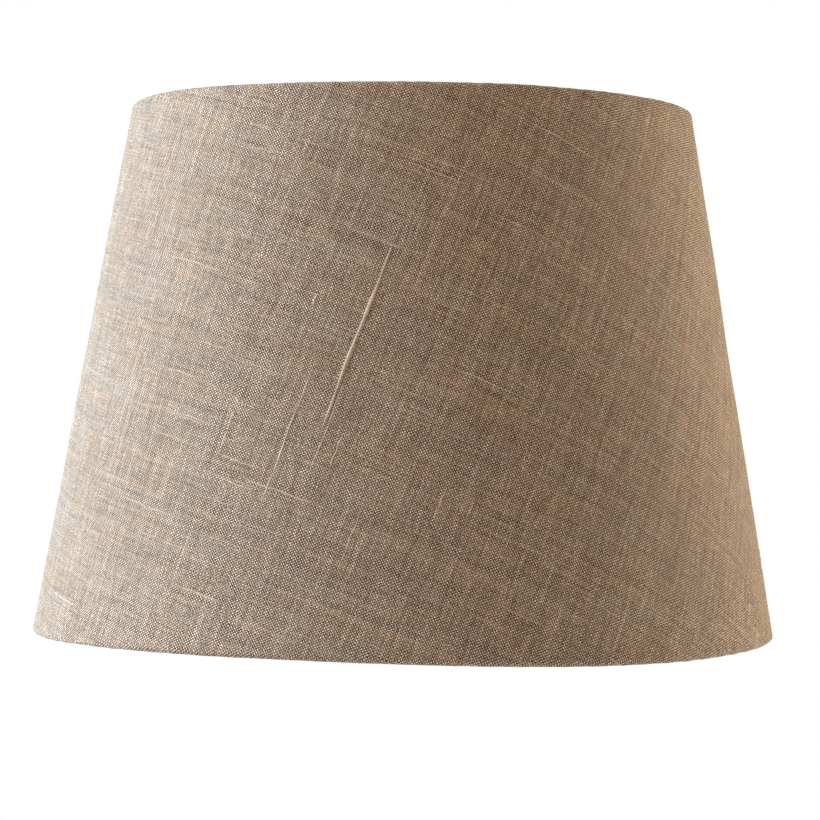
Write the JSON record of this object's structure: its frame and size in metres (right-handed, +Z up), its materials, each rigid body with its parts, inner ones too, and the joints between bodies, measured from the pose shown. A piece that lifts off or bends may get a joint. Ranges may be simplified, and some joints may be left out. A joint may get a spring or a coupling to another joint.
{
  "type": "lamp shade",
  "caption": "Tapered linen lamp shade on a stiff liner, with rolled rims, a wire spider and a tilting ring fitter.",
  "frame": {"origin": "centre of the plane that the bottom hem stands on", "axes": "+Z up the shade's axis, +Y to the back, where the cloth's seam is, and +X to the right as seen from the front; the tilt pivots lie along Y"},
  "size_m": [0.38, 0.38, 0.2689],
  "materials": {
    "linen": "plain-weave natural linen with slubs, greige",
    "styrene": "white translucent lining sheet",
    "white_steel": "white powder coat on steel wire",
    "zinc_steel": "bright zinc plate",
    "white_plastic": "moulded white plastic",
    "fibre": "red-brown vulcanised fibre"
  },
  "bodies": {
    "fitter": {"fitter_ring": "zinc_steel", "pivot_rivet_1": "zinc_steel", "pivot_rivet_2": "zinc_steel", "friction_washer_1": "fibre", "friction_washer_2": "fibre"},
    "shade": {"linen_cover": "linen", "styrene_liner": "styrene", "top_ring": "white_steel", "bottom_ring": "white_steel", "spider_arm_1": "white_steel", "spider_arm_2": "white_steel", "spider_arm_3": "white_steel", "gimbal_hoop": "white_steel"},
    "reducer": {"reducer_ring": "white_plastic"}
  },
  "joints": [
    {"name": "shade_tilt", "type": "hinge", "parent": "fitter", "child": "shade", "pos_m": [0, 0, 0.06], "axis": [0, 1, 0], "range_deg": [-20, 20]},
    {"name": "reducer_lift", "type": "slide", "parent": "fitter", "child": "reducer", "axis": [0, 0, 1], "range_m": [0, 0.012]}
  ]
}
